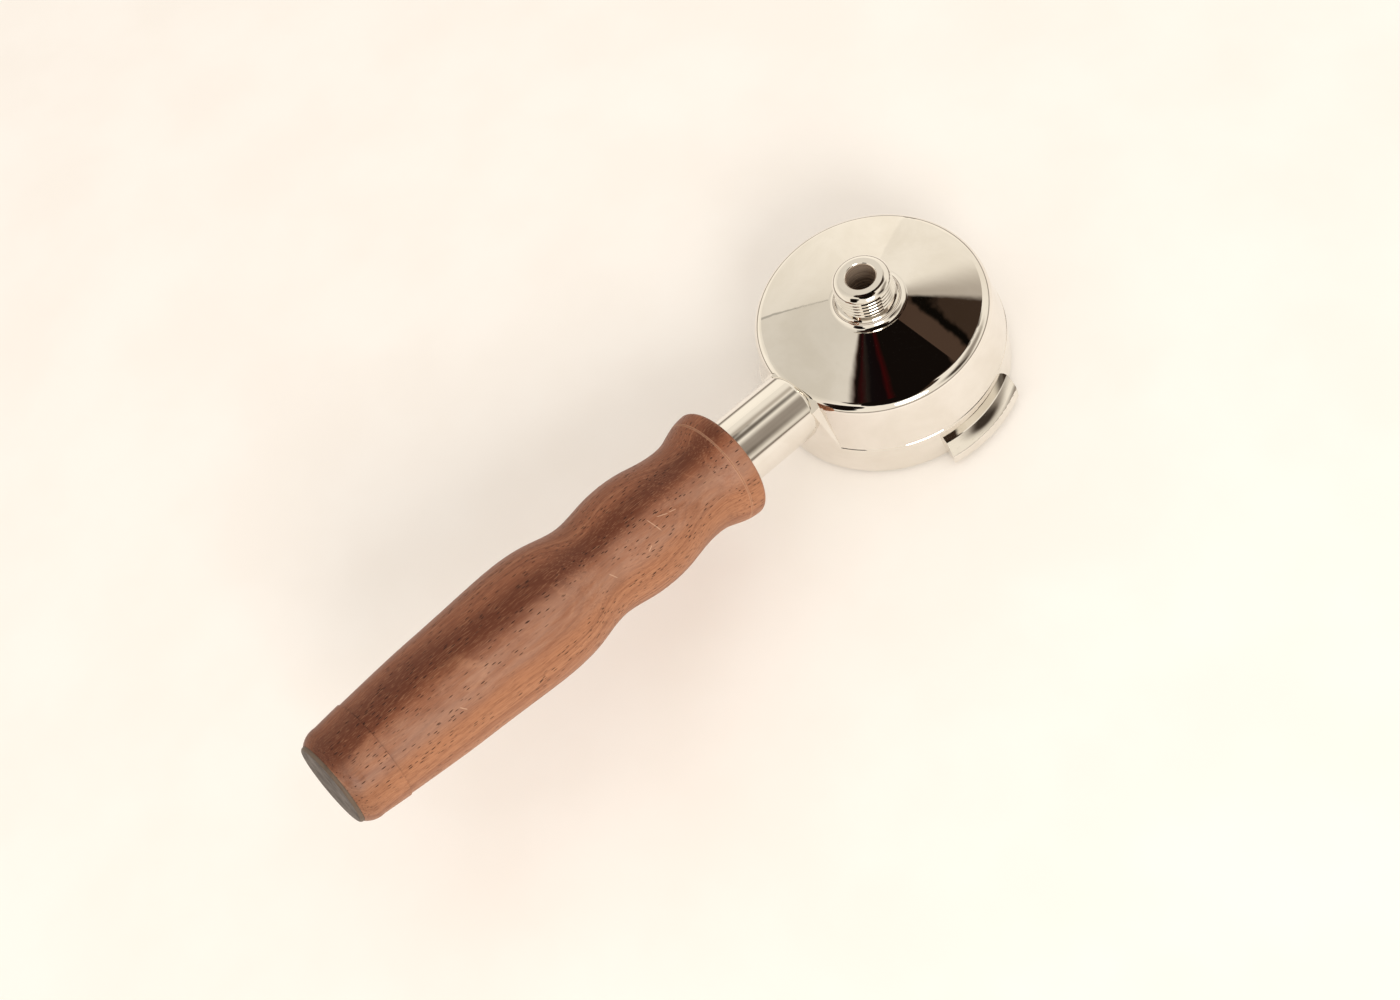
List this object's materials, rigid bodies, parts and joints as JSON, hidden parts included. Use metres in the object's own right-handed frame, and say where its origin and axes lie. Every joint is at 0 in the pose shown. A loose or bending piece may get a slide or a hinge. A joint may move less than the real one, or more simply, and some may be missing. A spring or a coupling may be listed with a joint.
{
  "type": "portafilter",
  "caption": "Espresso portafilter: chromed filter holder with bayonet lugs, threaded outlet nipple and tilted neck, turned walnut handle, and a lift-out filter basket held by a wire spring.",
  "frame": {"origin": "centre of the rim plane, on the holder's turning axis", "axes": "+Z out through the outlet nipple (the holder stands on its rim, mouth down), the handle leaves along -Y and rises 12 degrees, +X completes the set and points through one bayonet lug"},
  "size_m": [0.0812, 0.2316, 0.0705],
  "materials": {
    "chrome": "polished",
    "stainless": "satin",
    "spring_wire": "bright drawn",
    "walnut": "oiled satin",
    "zinc_steel": "zinc plated",
    "fibre": "matt",
    "cap_grey": "satin"
  },
  "bodies": {
    "basket": {"filter_basket": "stainless"},
    "spring": {"basket_spring": "spring_wire"},
    "holder": {"holder_body": "chrome", "handle_grip": "walnut", "seat_washer": "fibre", "handle_stud": "zinc_steel", "flat_washer": "zinc_steel", "lock_washer": "zinc_steel", "hex_nut": "zinc_steel", "end_cap": "cap_grey"}
  },
  "joints": [
    {"name": "lift_off", "type": "slide", "parent": "basket", "child": "spring", "axis": [0, 0, 1], "range_m": [0, 0.045]},
    {"name": "holder_turn", "type": "hinge", "parent": "spring", "child": "holder", "pos_m": [0, 0, 0.007], "axis": [0, 0, 1], "continuous": true}
  ]
}
